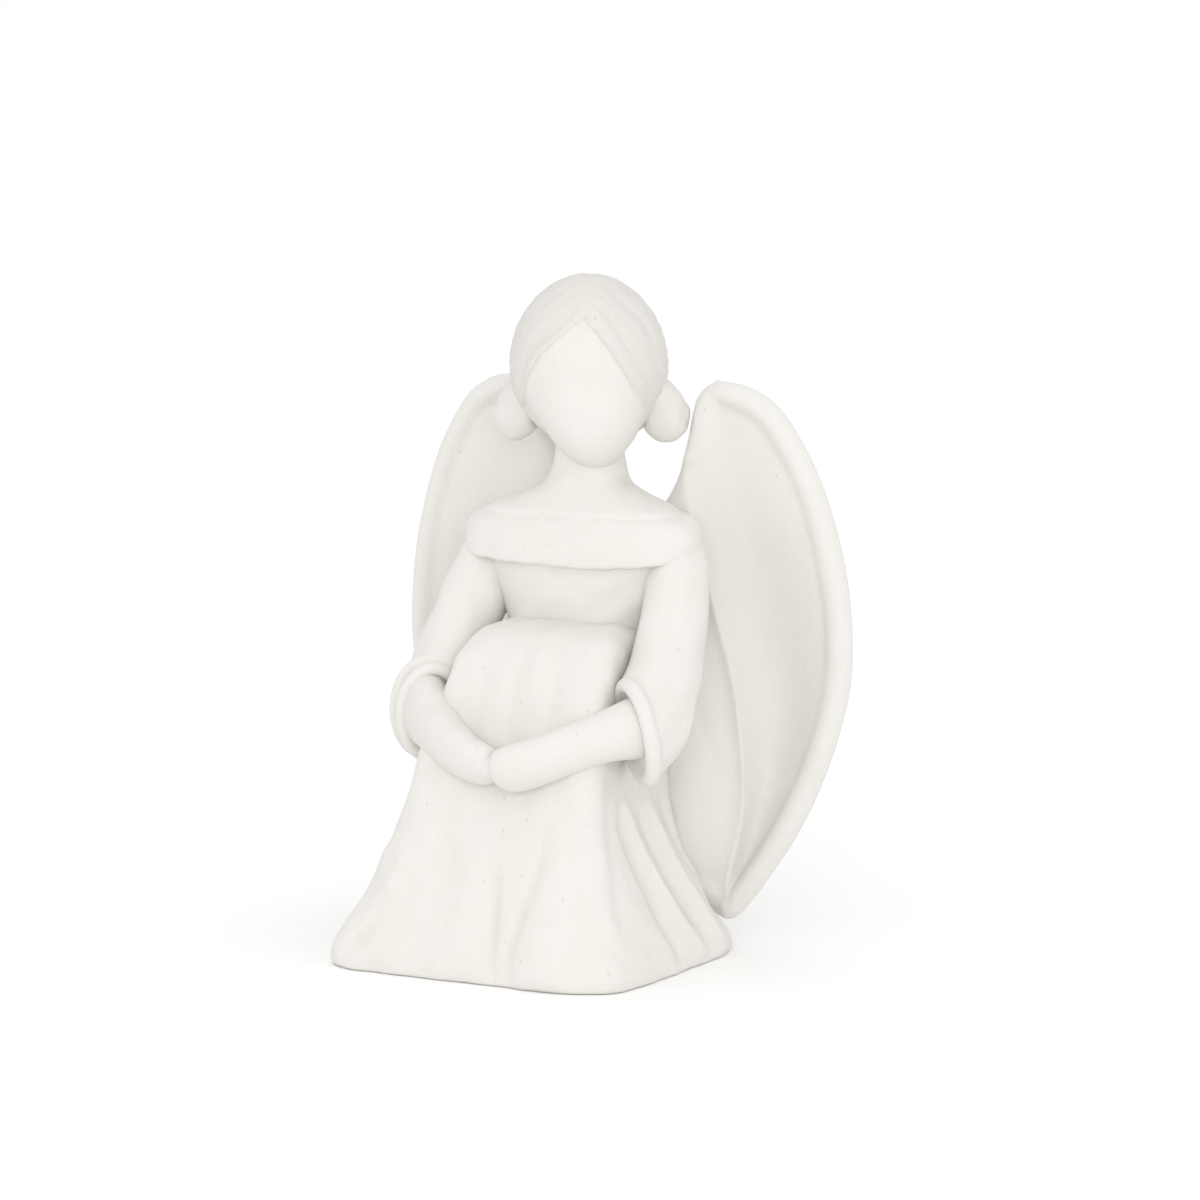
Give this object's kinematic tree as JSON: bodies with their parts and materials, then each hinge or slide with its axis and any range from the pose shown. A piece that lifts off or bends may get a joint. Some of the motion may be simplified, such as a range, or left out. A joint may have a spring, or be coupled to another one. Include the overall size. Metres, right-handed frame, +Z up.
{
  "type": "angel figurine",
  "caption": "Seated winged figurine in matte off-white cast resin, with a blank egg-shaped face, bell sleeves and hands folded round the knees.",
  "frame": {"origin": "on the table, under the middle of the figurine's bounding box", "axes": "+Z up, -Y the way the torso and knees face, +X the figure's own left"},
  "size_m": [0.12, 0.0762, 0.1596],
  "materials": {
    "painted_resin": "matte",
    "felt": "matte",
    "dowel_steel": "satin"
  },
  "bodies": {
    "root": {"gown": "painted_resin", "bodice": "painted_resin", "head": "painted_resin", "left_hair_bun": "painted_resin", "right_hair_bun": "painted_resin", "left_sleeve": "painted_resin", "right_sleeve": "painted_resin", "left_hand": "painted_resin", "right_hand": "painted_resin", "left_wing": "painted_resin", "right_wing": "painted_resin", "felt_pad_front_left": "felt", "felt_pad_front_right": "felt", "felt_pad_rear_left": "felt", "felt_pad_rear_right": "felt", "neck_dowel": "dowel_steel", "left_shoulder_dowel": "dowel_steel", "right_shoulder_dowel": "dowel_steel", "left_wing_upper_dowel": "dowel_steel", "right_wing_upper_dowel": "dowel_steel", "left_wing_lower_dowel": "dowel_steel", "right_wing_lower_dowel": "dowel_steel"}
  },
  "joints": []
}
